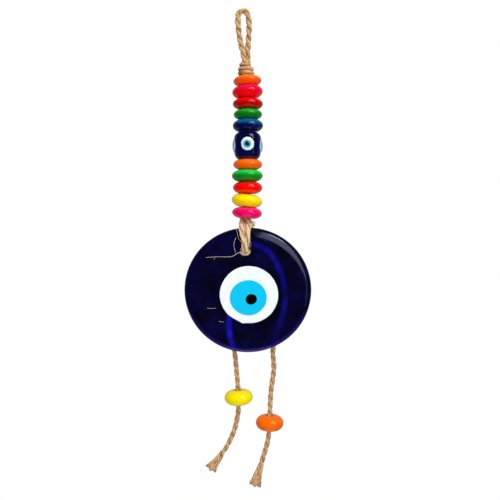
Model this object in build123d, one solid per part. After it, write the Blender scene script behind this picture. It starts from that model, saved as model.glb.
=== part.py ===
from build123d import *
import os
from math import asin, cos, degrees, radians, sin, tan

# Evil eye ornament: a twine loop, a column of beads, a glass eye disc and two beaded tails.
# Units are millimetres. The origin is the underside of the loop's top, where a nail bears.
# +Z is up and the front of the ornament faces -Y, so the twine runs down the plane Y = 0.

# ---------------------------------------------------------------- twine
TWINE = 2.8                 # diameter of the two-ply jute twine
TWINE_IN_BEADS = 1.9        # each leg, squeezed side by side in a bead's hole
LEG_GAP = 0.06              # air between the two legs inside the beads
CORD_X = 2.25               # the column's twine hangs this far to the right of the nail
END_ROUND = 1.3             # rounding of a strand's end beside a flexing point
FLEX_GAP = 0.4              # air between the rounded ends of two strands that flex

# ---------------------------------------------------------------- hanging loop and neck
LOOP_HALF_WIDTH = 2.86      # from the loop's middle to a leg's centreline
LOOP_MIDDLE_X = -0.14
LOOP_LEFT_X = LOOP_MIDDLE_X - LOOP_HALF_WIDTH
LOOP_RIGHT_X = LOOP_MIDDLE_X + LOOP_HALF_WIDTH
LOOP_TOP_Z = TWINE / 2      # centreline at the top; the nail touches the twine at Z = 0
NECK_PIVOT = (0.7, 0, -21.8)        # the legs meet here, and the ornament sways about Y
COLUMN_PIVOT = (1.75, 0, -28.0)     # the strands enter the top knot, and it swings about X
NECK_BALL_R = 2.1           # the top knot's throat is a ball about the column's pivot

# ---------------------------------------------------------------- knots
TOP_KNOT_R = 4.2
TOP_KNOT_Z = (-35.1, -28.9)         # lowest and highest points of the wraps
LOWER_KNOT_CENTER = (CORD_X - 0.1, 0, -116.9)       # the disc sways and tilts about this point
LOWER_KNOT_WRAPS = ((-2.8, 1.45), (-1.0, 1.85), (1.0, 1.85), (2.8, 1.45))   # place along X, radius
WRAP_THICKNESS = 0.47       # a wrap's own radius over the radius it reaches
CUT_END_LENGTH = 2.6
CUT_END_D = 1.9

# ---------------------------------------------------------------- bead column
BEAD_HOLE_R = 2.75
MOUTH = 0.3                 # chamfer at each mouth of a bead's hole
BEAD_GAP = 0.08             # air between neighbouring beads
BEAD_RIM = 0.70             # radial depth of the elliptic rim, as a part of the radius
BEAD_BULGE = 1.08           # half height of that ellipse over the bead's half thickness
COLUMN_TOP_Z = -35.45       # top of the first bead
EYE_BEAD_AIR = 0.35         # the twine shows in this gap above the eye bead

# name: (diameter, thickness, tilt about Y in degrees with the right side down, shift from CORD_X)
UPPER_BEADS = {
    "bead_01_orange": (15.4, 5.25, -3.0, -0.10),
    "bead_02_pink": (16.8, 6.7, -3.4, -0.05),
    "bead_03_red": (16.6, 5.8, 0.0, 0.15),
    "bead_04_green": (15.6, 5.5, -1.0, 0.20),
    "bead_05_blue": (16.7, 6.7, -1.0, 0.20),
}
LOWER_BEADS = {
    "bead_07_orange": (15.9, 5.75, 0.0, 0.10),
    "bead_08_green": (17.0, 6.4, -0.5, -0.15),
    "bead_09_red": (16.2, 6.45, 0.5, 0.05),
    "bead_10_yellow": (16.9, 6.8, 6.5, -0.40),
    "bead_11_pink": (16.5, 5.95, 3.6, -0.30),
}

# ---------------------------------------------------------------- eye bead
EYE_BEAD_HEIGHT = 14.75
EYE_SHOULDER_R = 7.35       # where the shoulder meets the side
EYE_SIDE_R = 7.7
EYE_DOT_BULGE = 8.35        # the dots' crowns stand this far from the bead's axis
EYE_DOT_DOME = 7.9          # radius of a dot's domed face
EYE_DOT_FLOOR = 5.6         # the dots' inner end, from the bead's axis
EYE_DOT_RADII = {"white": 3.6, "iris": 1.95, "pupil": 1.0}
EYE_DOT_PROUD = {"white": 0.0, "iris": 0.05, "pupil": 0.10}
EYE_DOTS = ((0, 1.4), (90, -0.5), (180, 0.3), (270, -0.2))   # azimuth in degrees, height

# ---------------------------------------------------------------- glass disc
DISC_WIDTH = 70.0
DISC_HEIGHT = 68.8
DISC_THICKNESS = 8.0
DISC_CENTER = (2.43, -153.3)        # X and Z
DISC_FRONT_ROUND = 3.9
DISC_BACK_ROUND = 3.4
HOLE_CENTER = (0.83, -131.3)
HOLE_R = 3.5
HOLE_LIP = 1.2
# each eye layer: (width, height, centre X, centre Z, depth of its floor, height of its face)
EYE_LAYERS = {
    "disc_white": (31.8, 31.3, 3.04, -155.7, 1.9, 0.15),
    "disc_iris": (20.2, 19.4, 2.70, -157.35, 1.2, 0.27),
    "disc_pupil": (6.2, 5.9, 4.30, -158.2, 0.6, 0.36),
}
LAYER_ROUND = 0.12

# ---------------------------------------------------------------- twine on the disc
STRAND_OFF = 0.35           # air between a strand and the glass
STRAND_Y = DISC_THICKNESS / 2 + TWINE / 2 + STRAND_OFF
STRAND_TOP = (4.35, -119.15)        # Y and Z where a strand starts beside the lower knot
STRAND_BEND = (STRAND_Y + 0.2, -122.0)      # Y and Z where it turns down along the glass
STRAND_DROP = 0.5           # the strands pass this far below the hole's centre
STRAND_SPREAD = 1.45        # half the distance between the two strands in the hole
HITCH_CENTER = (1.5, 7.0, -126.0)   # the tails are hitched on the strands behind the disc
HITCH_R = 4.3
HITCH_DEPTH = 4.8
HITCH_ROUND = 2.1

# ---------------------------------------------------------------- tails
TAIL_BEAD_HOLE_R = 1.95
TAIL_FLEX_GAP = 1.0         # from a flexing point to the end of the strand above or below it
LEFT_FLEX = (-5.0, STRAND_Y, -188.6)
RIGHT_FLEX = (16.3, STRAND_Y, -188.0)
# Routes of the tails, chosen by hand, from the hitch to the disc's edge and from there to the end.
LEFT_UPPER = [
    (0.0, 9.0, -130.9), (-1.9, 8.7, -137.5), (-4.4, 6.8, -147.0), (-7.0, 5.9, -159.0),
    (-8.3, STRAND_Y, -171.5), (-7.3, STRAND_Y, -180.0),
    (LEFT_FLEX[0] - 0.2, STRAND_Y, LEFT_FLEX[2] + TAIL_FLEX_GAP),
]
LEFT_LOWER = [
    (LEFT_FLEX[0] + 0.1, STRAND_Y, LEFT_FLEX[2] - TAIL_FLEX_GAP),
    (-3.7, STRAND_Y, -199.5), (-2.4, STRAND_Y, -219.5), (-4.5, STRAND_Y, -231.0),
    (-8.3, STRAND_Y, -240.0), (-12.9, STRAND_Y, -246.4), (-15.8, STRAND_Y, -250.4),
]
RIGHT_UPPER = [
    (5.8, 8.2, -127.8), (10.4, 7.6, -129.6), (15.5, 6.3, -133.2), (19.9, 5.8, -141.5),
    (23.3, STRAND_Y, -153.0), (22.5, STRAND_Y, -165.0), (18.9, STRAND_Y, -175.5),
    (RIGHT_FLEX[0] + 0.2, STRAND_Y, RIGHT_FLEX[2] + TAIL_FLEX_GAP),
]
RIGHT_LOWER = [
    (RIGHT_FLEX[0], STRAND_Y, RIGHT_FLEX[2] - TAIL_FLEX_GAP),
    (17.3, STRAND_Y, -198.0), (15.3, STRAND_Y, -209.5), (14.8, STRAND_Y, -221.5),
    (14.4, STRAND_Y, -236.0), (11.0, STRAND_Y, -247.5), (8.0, STRAND_Y, -257.5),
]
# name: (diameter, thickness, distance down its straight run, run's first and last points)
TAIL_BEADS = {
    "tail_bead_yellow": (15.8, 7.9, 14.25, LEFT_LOWER[1], LEFT_LOWER[2]),
    "tail_bead_orange": (15.5, 8.1, 6.5, RIGHT_LOWER[3], RIGHT_LOWER[4]),
}
LEFT_FRAY = 5.4             # length of a tail's loosened end
RIGHT_FRAY = 6.8
FRAY_R = 3.4


# ================================================================ shared shapes
def route_radii(points):
    """The largest arc that each corner's two runs allow: 0.45 of the shorter run."""
    radii = []
    for before, corner, after in zip(points, points[1:], points[2:]):
        into = Vector(*corner) - Vector(*before)
        out = Vector(*after) - Vector(*corner)
        half_turn = radians(into.get_angle(out)) / 2
        radii.append(0.45 * min(into.length, out.length) / tan(half_turn))
    return radii


def strand(name, points, diameter=TWINE, round_ends=()):
    """A length of twine along straight runs and tangent arcs, with some ends rounded."""
    radii = route_radii(points)
    path = FilletPolyline(*points, radius=radii)
    section = Plane(origin=path @ 0, z_dir=path % 0) * Circle(diameter / 2)
    solid = sweep(section, path=path)
    expected = 3.14159 * diameter ** 2 / 4 * path.length
    print(f"{name}: length {path.length:.1f}, radii {[round(r, 1) for r in radii]},"
          f" volume over section x length {solid.volume / expected:.4f}")
    for end in round_ends:
        face = solid.faces().sort_by_distance(Vector(*points[end]))[0]
        solid = fillet(face.edges(), END_ROUND * diameter / TWINE)
    return solid


def bead(diameter, thickness, hole_r):
    """A turned bead on the Z axis: flat faces round the hole and an elliptic rim."""
    half = thickness / 2
    rim_depth = BEAD_RIM * diameter / 2
    rim_half = BEAD_BULGE * half
    angle = degrees(asin(half / rim_half))
    rim = EllipticalCenterArc((diameter / 2 - rim_depth, 0), rim_depth, rim_half,
                              start_angle=-angle, arc_size=2 * angle)
    flat_r = (rim @ 0).X
    inner = Polyline((flat_r, half), (hole_r + MOUTH, half), (hole_r, half - MOUTH),
                     (hole_r, MOUTH - half), (hole_r + MOUTH, -half), (flat_r, -half))
    return revolve(Plane.XZ * make_face(rim + inner), axis=Axis.Z)


def ellipse_block(width, height, center_x, center_z, y_front, y_back):
    """An upright elliptic plate between two planes of constant Y."""
    profile = Plane((center_x, y_back, center_z), x_dir=(1, 0, 0), z_dir=(0, -1, 0))
    return extrude(profile * Ellipse(width / 2, height / 2), y_back - y_front)


def flat_radius(diameter):
    """Radius of a bead's flat face, where its neighbour rests."""
    angle = asin(1 / BEAD_BULGE)
    return diameter / 2 * (1 - BEAD_RIM * (1 - cos(angle)))


# ================================================================ bead column layout
def stack_down(beads, top_z):
    """Centres of a stack of beads from the top down, with room for each change of tilt."""
    centers = {}
    last_tilt = None
    for name, (diameter, thickness, tilt, shift) in beads.items():
        if last_tilt is not None:
            wedge = flat_radius(diameter) * abs(sin(radians(tilt - last_tilt)))
            top_z -= BEAD_GAP + wedge
        centers[name] = (CORD_X + shift, 0, top_z - thickness / 2)
        top_z -= thickness
        last_tilt = tilt
    return centers, top_z


UPPER_CENTERS, UPPER_BOTTOM_Z = stack_down(UPPER_BEADS, COLUMN_TOP_Z)
EYE_CENTER = (CORD_X, 0, UPPER_BOTTOM_Z - EYE_BEAD_AIR - EYE_BEAD_HEIGHT / 2)
EYE_BOTTOM_Z = EYE_CENTER[2] - EYE_BEAD_HEIGHT / 2
LOWER_CENTERS, COLUMN_BOTTOM_Z = stack_down(LOWER_BEADS, EYE_BOTTOM_Z - BEAD_GAP)
COLUMN_BEADS = {**UPPER_BEADS, **LOWER_BEADS}
COLUMN_CENTERS = {**UPPER_CENTERS, **LOWER_CENTERS}


# ================================================================ twine above the beads
def hanging_loop():
    """The fold of twine that goes over the nail, open between its two legs."""
    ends_z = NECK_PIVOT[2] + FLEX_GAP
    points = [
        (-0.5, -0.8, ends_z), (-2.4, -0.3, -13.8), (LOOP_LEFT_X - 0.1, 0, -6.2),
        (LOOP_LEFT_X, 0, LOOP_TOP_Z), (LOOP_RIGHT_X, 0, LOOP_TOP_Z),
        (LOOP_RIGHT_X + 0.13, 0, -6.4), (2.6, 0.3, -13.9), (1.9, 0.8, ends_z),
    ]
    return strand("hanging_loop", points, round_ends=(0, -1))


def neck_strand(x_top, x_bottom, y):
    """One of the two short strands between the loop's legs and the top knot."""
    top = Vector(x_top, y, NECK_PIVOT[2] - FLEX_GAP)
    bottom = Vector(x_bottom, y * 1.45, COLUMN_PIVOT[2] + NECK_BALL_R + FLEX_GAP)
    axis = bottom - top
    solid = extrude(Plane(origin=top, z_dir=axis) * Circle(TWINE / 2), axis.length)
    return fillet(solid.edges().filter_by(GeomType.CIRCLE), END_ROUND)


def top_knot():
    """An overhand knot: three wraps round a core, with a ball where the strands enter."""
    low, high = TOP_KNOT_Z
    wrap_r = TWINE / 2
    ring_r = TOP_KNOT_R - wrap_r
    heights = [low + wrap_r, (low + high) / 2, high - wrap_r]
    core_height = heights[-1] - heights[0] + wrap_r
    knot = Pos(0, 0, heights[0] + core_height / 2) * Cylinder(ring_r, core_height)
    for height in heights:
        knot += Pos(0, 0, height) * Torus(ring_r, wrap_r)
    knot = Pos(COLUMN_PIVOT[0], 0, 0) * knot
    return knot + Pos(*COLUMN_PIVOT) * Sphere(NECK_BALL_R)


def column_strand(side):
    """One leg of twine inside the beads; side is -1 for the left leg and 1 for the right."""
    offset = side * (TWINE_IN_BEADS + LEG_GAP) / 2
    top_z = TOP_KNOT_Z[0]
    bottom_z = COLUMN_BOTTOM_Z + 0.2
    foot = Plane((CORD_X + offset, 0, bottom_z))
    return extrude(foot * Circle(TWINE_IN_BEADS / 2), top_z - bottom_z)


# ================================================================ beads
def column_bead(name):
    """A bead of the column in its place, tilted about Y."""
    diameter, thickness, tilt, shift = COLUMN_BEADS[name]
    return Pos(*COLUMN_CENTERS[name]) * Rot(0, tilt, 0) * bead(diameter, thickness, BEAD_HOLE_R)


def eye_bead_blank():
    """The eye bead's barrel, narrower at the bottom, before its dots are let in."""
    half = EYE_BEAD_HEIGHT / 2
    shoulder = ThreePointArc((4.6, half), (6.45, half - 0.95), (EYE_SHOULDER_R, half - 2.7))
    side = ThreePointArc((EYE_SHOULDER_R, half - 2.7), (EYE_SIDE_R, 0.3), (7.15, 2.8 - half))
    foot = ThreePointArc((7.15, 2.8 - half), (6.4, 1.0 - half), (5.3, -half))
    inner = Polyline((5.3, -half), (BEAD_HOLE_R, -half), (BEAD_HOLE_R, half), (4.6, half))
    return revolve(Plane.XZ * make_face(shoulder + side + foot + inner), axis=Axis.Z)


def eye_dots(layer, floor):
    """The four dots of one colour, domed discs of glass round the eye bead."""
    dots = []
    for azimuth, height in EYE_DOTS:
        face_r = EYE_DOT_DOME + EYE_DOT_PROUD[layer]
        dome = Pos(0, EYE_DOT_DOME - EYE_DOT_BULGE, height) * Sphere(face_r)
        post = Plane((0, -floor, height), z_dir=(0, -1, 0)) * Circle(EYE_DOT_RADII[layer])
        dots.append(Rot(0, 0, azimuth) * (extrude(post, 6) & dome))
    return dots


def eye_bead():
    """The eye bead's four nodes: the barrel, the whites, the irises and the pupils."""
    whites = eye_dots("white", EYE_DOT_FLOOR)
    irises = eye_dots("iris", EYE_DOT_FLOOR + 1.0)
    pupils = eye_dots("pupil", EYE_DOT_FLOOR + 1.8)
    barrel = eye_bead_blank()
    for dot in whites:
        barrel -= dot
    whites = [white - iris for white, iris in zip(whites, irises)]
    irises = [iris - pupil for iris, pupil in zip(irises, pupils)]
    place = Pos(*EYE_CENTER)
    return {
        "eye_bead_body": place * barrel,
        "eye_bead_whites": place * Compound(children=whites),
        "eye_bead_irises": place * Compound(children=irises),
        "eye_bead_pupils": place * Compound(children=pupils),
    }


def tail_bead(name):
    """A round bead threaded on a tail, square to the run of twine that it sits on."""
    diameter, thickness, along, start, end = TAIL_BEADS[name]
    axis = (Vector(*end) - Vector(*start)).normalized()
    seat = Plane(origin=Vector(*start) + axis * along, z_dir=-axis, x_dir=(1, 0, 0))
    return seat * bead(diameter, thickness, TAIL_BEAD_HOLE_R)


# ================================================================ glass disc
def disc_layer(name):
    """One flat layer of the eye as a plate let into the glass below it."""
    width, height, center_x, center_z, floor, face = EYE_LAYERS[name]
    front = -DISC_THICKNESS / 2
    plate = ellipse_block(width, height, center_x, center_z, front - face, front + floor)
    return fillet(plate.edges().sort_by(Axis.Y)[0], LAYER_ROUND)


def glass_disc():
    """The disc's four nodes: cobalt body, white, iris and pupil, each let into the last."""
    half = DISC_THICKNESS / 2
    body = ellipse_block(DISC_WIDTH, DISC_HEIGHT, *DISC_CENTER, -half, half)
    body = fillet(body.edges().sort_by(Axis.Y)[0], DISC_FRONT_ROUND)
    body = fillet(body.edges().sort_by(Axis.Y)[-1], DISC_BACK_ROUND)
    mouth = Plane((HOLE_CENTER[0], half, HOLE_CENTER[1]), z_dir=(0, -1, 0))
    body -= extrude(mouth * Circle(HOLE_R), DISC_THICKNESS)
    body = fillet(body.edges().filter_by(GeomType.CIRCLE), HOLE_LIP)
    white = disc_layer("disc_white")
    iris = disc_layer("disc_iris")
    pupil = disc_layer("disc_pupil")
    return {
        "disc_body": body - white,
        "disc_white": white - iris,
        "disc_iris": iris - pupil,
        "disc_pupil": pupil,
    }


# ================================================================ twine on the disc
def lower_knot():
    """The barrel knot that holds up the beads: four wraps about X round a core."""
    turn = Rot(0, 90, 0)
    reach = LOWER_KNOT_WRAPS[-1][0]
    knot = turn * Cylinder(LOWER_KNOT_WRAPS[0][1] * (1 - WRAP_THICKNESS), 2 * reach)
    for along, radius in LOWER_KNOT_WRAPS:
        wrap_r = radius * WRAP_THICKNESS
        knot += Pos(along, 0, 0) * turn * Torus(radius - wrap_r, wrap_r)
    return Pos(*LOWER_KNOT_CENTER) * knot


def cut_end():
    """The short cut end of twine that sticks out of the lower knot, to the right."""
    x, y, z = LOWER_KNOT_CENTER
    axis = Vector(0.95, -0.3, -0.08).normalized()
    root = Plane(origin=(x + LOWER_KNOT_WRAPS[-1][0], y - 0.6, z - 0.1), z_dir=axis)
    return extrude(root * Circle(CUT_END_D / 2), CUT_END_LENGTH)


def disc_strand(name, side):
    """A strand from the lower knot over the front, through the hole and up behind the disc."""
    low_x = HOLE_CENTER[0] + side * STRAND_SPREAD
    low_z = HOLE_CENTER[1] - STRAND_DROP
    top_x = LOWER_KNOT_CENTER[0] - 1.1 + side * 1.6
    top_y, top_z = STRAND_TOP
    bend_y, bend_z = STRAND_BEND
    points = [
        (top_x, -top_y, top_z), (top_x, -bend_y, bend_z), (low_x, -STRAND_Y, low_z),
        (low_x, STRAND_Y, low_z), (top_x, bend_y, bend_z), (top_x, top_y, top_z),
    ]
    return strand(name, points)


def tail_hitch():
    """The hitch behind the disc that ties the tails to the strands, a puck across Y."""
    puck = fillet(Cylinder(HITCH_R, HITCH_DEPTH).edges().filter_by(GeomType.CIRCLE), HITCH_ROUND)
    return Pos(*HITCH_CENTER) * Rot(90, 0, 0) * puck


# ================================================================ tails
def fray(points, length):
    """The loosened end of a tail, a brush that widens from the twine."""
    end = Vector(*points[-1])
    axis = (end - Vector(*points[-2])).normalized()
    base = Plane(origin=end, z_dir=axis)
    tip = Plane(origin=end + axis * length, z_dir=axis)
    return loft([base * Circle(TWINE / 2), tip * Circle(FRAY_R)])


# ================================================================ assembly
def all_nodes():
    """Every node of the ornament, by name."""
    nodes = {
        "hanging_loop": hanging_loop(),
        "neck_strand_left": neck_strand(-0.5, 0.6, -0.85),
        "neck_strand_right": neck_strand(1.9, 2.7, 0.85),
        "top_knot": top_knot(),
        "column_strand_left": column_strand(-1),
        "column_strand_right": column_strand(1),
    }
    for name in COLUMN_BEADS:
        nodes[name] = column_bead(name)
    nodes.update(eye_bead())
    knot = lower_knot()
    nodes["lower_knot"] = knot
    nodes["lower_knot_cut_end"] = cut_end() - knot
    nodes.update(glass_disc())
    for name, side in (("disc_strand_left", -1), ("disc_strand_right", 1)):
        nodes[name] = disc_strand(name, side)
    nodes["tail_hitch"] = tail_hitch() - nodes["disc_strand_left"] - nodes["disc_strand_right"]
    nodes["tail_left_upper"] = strand("tail_left_upper", LEFT_UPPER, round_ends=(-1,))
    nodes["tail_left_lower"] = strand("tail_left_lower", LEFT_LOWER, round_ends=(0,))
    nodes["tail_left_fray"] = fray(LEFT_LOWER, LEFT_FRAY)
    nodes["tail_right_upper"] = strand("tail_right_upper", RIGHT_UPPER, round_ends=(-1,))
    nodes["tail_right_lower"] = strand("tail_right_lower", RIGHT_LOWER, round_ends=(0,))
    nodes["tail_right_fray"] = fray(RIGHT_LOWER, RIGHT_FRAY)
    for name in TAIL_BEADS:
        nodes[name] = tail_bead(name)
    return nodes


if __name__ == "__main__":
    os.makedirs("parts", exist_ok=True)
    for name, solid in all_nodes().items():
        export_step(solid, f"parts/{name}.step")
    print(f"column ends at Z = {COLUMN_BOTTOM_Z:.2f}")
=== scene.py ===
"""The looks of the evil eye ornament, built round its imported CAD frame.

Sizes and routes are written in millimetres and turned into metres where Blender gets them.
The ornament hangs from the origin down -Z, and its front faces -Y.
"""
import math

import bpy
import numpy as np
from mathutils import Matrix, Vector
from mathutils.geometry import delaunay_2d_cdt


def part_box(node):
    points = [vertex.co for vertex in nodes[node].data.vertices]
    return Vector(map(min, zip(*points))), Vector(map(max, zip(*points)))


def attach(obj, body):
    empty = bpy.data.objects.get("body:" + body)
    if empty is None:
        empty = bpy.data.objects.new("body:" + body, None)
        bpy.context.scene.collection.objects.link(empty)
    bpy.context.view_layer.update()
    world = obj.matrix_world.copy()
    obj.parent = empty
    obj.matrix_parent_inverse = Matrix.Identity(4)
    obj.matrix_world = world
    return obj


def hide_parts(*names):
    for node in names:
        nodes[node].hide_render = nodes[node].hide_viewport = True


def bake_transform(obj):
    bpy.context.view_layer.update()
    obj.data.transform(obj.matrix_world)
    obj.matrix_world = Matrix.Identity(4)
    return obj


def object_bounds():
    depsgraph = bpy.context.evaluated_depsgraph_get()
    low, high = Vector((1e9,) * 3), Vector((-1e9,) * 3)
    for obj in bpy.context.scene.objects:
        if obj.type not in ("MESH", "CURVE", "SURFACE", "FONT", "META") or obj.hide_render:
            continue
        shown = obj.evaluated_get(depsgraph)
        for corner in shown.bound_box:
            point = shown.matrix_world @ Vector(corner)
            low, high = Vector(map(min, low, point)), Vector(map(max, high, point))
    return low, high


MM = 0.001
TURN = 2 * math.pi
MIDDLE = (3.6, -131.3)  # the ornament's middle in X and Z, which the camera faces
CAMERA_Y = -380.0
HALF_WIDTH = 138.0      # half of what the camera sees across, at the twine's plane

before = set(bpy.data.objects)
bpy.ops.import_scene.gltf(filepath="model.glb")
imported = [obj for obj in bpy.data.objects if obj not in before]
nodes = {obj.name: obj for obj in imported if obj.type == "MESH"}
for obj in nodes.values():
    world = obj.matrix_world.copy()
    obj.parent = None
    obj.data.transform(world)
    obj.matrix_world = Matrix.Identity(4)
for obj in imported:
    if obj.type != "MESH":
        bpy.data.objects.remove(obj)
cad_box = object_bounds()


# ================================================================ camera
def make_camera():
    """A central view, square to the ornament."""
    data = bpy.data.cameras.new("camera")
    data.angle = 2 * math.atan(HALF_WIDTH / -CAMERA_Y)
    camera = bpy.data.objects.new("camera", data)
    camera.location = (MIDDLE[0] * MM, CAMERA_Y * MM, MIDDLE[1] * MM)
    camera.rotation_euler = (math.pi / 2, 0, 0)
    bpy.context.scene.collection.objects.link(camera)
    bpy.context.scene.camera = camera


make_camera()


# ================================================================ materials
def srgb(red, green, blue):
    """A display colour, 0 to 255 a channel, as the linear colour that a shader takes."""
    linear = [(c / 255 + 0.055) / 1.055 for c in (red, green, blue)]
    return tuple(c ** 2.4 for c in linear) + (1.0,)


class Shader:
    """A material with one Principled shader, and short ways to add nodes to it."""

    def __init__(self, name, **sockets):
        self.material = bpy.data.materials.new(name)
        self.material.use_nodes = True
        self.tree = self.material.node_tree
        self.surface = self.tree.nodes["Principled BSDF"]
        for socket, value in sockets.items():
            self.surface.inputs[socket.replace("_", " ")].default_value = value

    def node(self, kind, inputs=(), **settings):
        made = self.tree.nodes.new(kind)
        for setting, value in settings.items():
            setattr(made, setting, value)
        for socket, value in dict(inputs).items():
            self.put(value, made.inputs[socket])
        return made

    def put(self, value, socket):
        if isinstance(value, bpy.types.NodeSocket):
            self.tree.links.new(value, socket)
        else:
            socket.default_value = value

    def place(self):
        return self.node("ShaderNodeTexCoord").outputs["Object"]

    def uv(self):
        return self.node("ShaderNodeTexCoord").outputs["UV"]

    def stretched(self, coordinates, scale):
        mapping = self.node("ShaderNodeMapping", {"Vector": coordinates, "Scale": scale})
        return mapping.outputs["Vector"]

    def noise(self, coordinates, scale, detail=2.0, roughness=0.5):
        inputs = {"Vector": coordinates, "Scale": scale, "Detail": detail, "Roughness": roughness}
        return self.node("ShaderNodeTexNoise", inputs).outputs["Fac"]

    def attribute(self, name):
        return self.node("ShaderNodeAttribute", attribute_name=name).outputs["Fac"]

    def ramp(self, value, low, high, start=0.0, end=1.0):
        """value from low to high becomes start to end, and stays there outside that range."""
        inputs = {"Value": value, "From Min": low, "From Max": high, "To Min": start, "To Max": end}
        return self.node("ShaderNodeMapRange", inputs).outputs["Result"]

    def times(self, a, b):
        product = self.node("ShaderNodeMath", operation="MULTIPLY")
        self.put(a, product.inputs[0])
        self.put(b, product.inputs[1])
        return product.outputs[0]

    def mix(self, share, a, b):
        made = self.node("ShaderNodeMix", data_type="RGBA")
        self.put(share, made.inputs["Factor"])
        self.put(a, made.inputs[6])
        self.put(b, made.inputs[7])
        return made.outputs[2]

    def color(self, value):
        self.put(value, self.surface.inputs["Base Color"])

    def roughness(self, value):
        self.put(value, self.surface.inputs["Roughness"])

    def bump(self, height, distance, strength=1.0):
        inputs = {"Height": height, "Distance": distance * MM, "Strength": strength}
        made = self.node("ShaderNodeBump", inputs)
        self.put(made.outputs["Normal"], self.surface.inputs["Normal"])
        return made.outputs["Normal"]


def lacquer(bead, upper, lower):
    """Gloss paint on a turned bead with painted light and shade: one tone above and another below,
    as light falls on its top and its bottom, and faint turning marks.
    """
    s = Shader("lacquer_painted_light_" + bead, Coat_Weight=1.0, Coat_Roughness=0.06, Specular_IOR_Level=0.0)
    place = s.place()
    height = s.node("ShaderNodeSeparateXYZ", {"Vector": place}).outputs["Z"]
    low, high = (corner.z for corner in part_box(bead))
    # Painted light and shade: the bead's height picks the lit tone above or the other below, across
    # a ragged edge of noise.
    share = s.ramp(height, low + 0.45 * (high - low), low + 0.85 * (high - low))
    ragged_shade_edge = s.ramp(s.noise(place, 210, detail=3), 0.3, 0.7, -0.12, 0.12)
    painted_shade_share = s.node("ShaderNodeMath", {0: share, 1: ragged_shade_edge}, operation="ADD", use_clamp=True)
    s.color(s.mix(painted_shade_share.outputs[0], lower, upper))
    rings = s.noise(s.stretched(place, (0.25, 0.25, 2.2)), 420, detail=2)
    s.bump(rings, 0.002, 0.15)
    return s.material


def glass(name, color, deep, mottle=260):
    """Opaque coloured glass with slow swirls of a deeper tone."""
    s = Shader(name, Coat_Weight=0.3, Coat_Roughness=0.03, IOR=1.5)
    swirl = s.noise(s.place(), mottle, detail=4, roughness=0.6)
    s.color(s.mix(s.ramp(swirl, 0.35, 0.72), color, deep))
    s.roughness(s.ramp(swirl, 0.3, 0.7, 0.07, 0.13))
    s.bump(s.noise(s.place(), 330, detail=1), 0.03, 0.4)
    return s.material


def soft_edged_iris():
    """The eye bead's iris: clear blue that bleeds into the white at its edge."""
    s = Shader("bead_iris_glass", Coat_Weight=0.3, Coat_Roughness=0.03, Roughness=0.08, IOR=1.5)
    swirl = s.ramp(s.noise(s.place(), 700, detail=3), 0.35, 0.7)
    blue = s.mix(swirl, srgb(24, 142, 190), srgb(8, 96, 140))
    s.color(s.mix(s.attribute("groove"), blue, srgb(170, 228, 242)))
    return s.material


def cobalt_disc_glass():
    """The disc's deep cobalt: nearly black, with painted light: brighter blue bands where the lit
    tails behind it show through the glass.
    """
    s = Shader("cobalt_disc_glass", IOR=1.52, Specular_Tint=(0.66, 0.72, 1.0, 1.0))
    place = s.place()
    cloud = s.noise(place, 85, detail=4, roughness=0.6)
    body = s.mix(s.ramp(cloud, 0.38, 0.68), srgb(1, 1, 19), srgb(6, 3, 58))
    broken = s.ramp(s.noise(place, 170, detail=3), 0.36, 0.60, 0.25, 1.0)
    # Painted light: the lit tails behind the disc glowing blue through the glass.
    tail_glowing = s.mix(s.times(s.attribute("painted_tail_glow"), broken), body, srgb(16, 5, 168))
    # Painted light: the paler band just inside the disc's lower edge.
    s.color(s.mix(s.attribute("painted_rim_light"), tail_glowing, srgb(36, 24, 118)))
    s.roughness(s.ramp(s.noise(place, 420, detail=3), 0.35, 0.7, 0.08, 0.20))
    s.bump(s.noise(place, 110, detail=3), 0.10, 0.35)
    return s.material


def jute(name, pale, brown, tan, deep):
    """Plant fibre: pale and brown strands that run along each ply, dull, with painted shade in the
    grooves.

    A groove value of 1 is the bottom of a groove, darkest with painted shade, and -1 is a worn,
    pale fibre.
    """
    s = Shader(name, Roughness=0.85, Specular_IOR_Level=0.0, Sheen_Weight=0.1)
    along = s.stretched(s.uv(), (1.0, 0.10, 1.0))
    fine = s.noise(along, 2.6, detail=4, roughness=0.75)
    broad = s.noise(s.stretched(s.uv(), (0.35, 0.12, 1.0)), 1.6, detail=3)
    strands = s.mix(s.ramp(fine, 0.40, 0.60), brown, pale)
    toned = s.mix(s.ramp(broad, 0.40, 0.66, 0.0, 0.6), strands, tan)
    bleached = s.mix(s.ramp(s.attribute("groove"), -1, 0, 0.6, 0.0), toned, pale)
    # Painted shade: the deep tone darkens a ply where it turns into the groove.
    s.color(s.mix(s.ramp(s.attribute("groove"), 0, 1, 0.0, 0.85), bleached, deep))
    s.bump(fine, 0.25, 0.9)
    return s.material


# Each is pale, brown, tan and deep, as jute takes them; deep is the painted shade in the grooves.
# The three are one jute, lit differently: the pale copy is painted light, a brighter copy for the
# well lit twine round the disc, and the other two are the darker copies for twine that is lit less.
TWINE_LOOK = jute("jute", srgb(246, 210, 154), srgb(134, 88, 44),
                  srgb(198, 148, 90), srgb(92, 56, 24))
WARM_TWINE = jute("jute_warm", srgb(252, 214, 164), srgb(138, 88, 44),
                  srgb(216, 160, 102), srgb(88, 52, 22))
LIT_TWINE = jute("jute_lit", srgb(255, 240, 208), srgb(202, 156, 106),
                  srgb(238, 200, 152), srgb(150, 106, 64))
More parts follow.
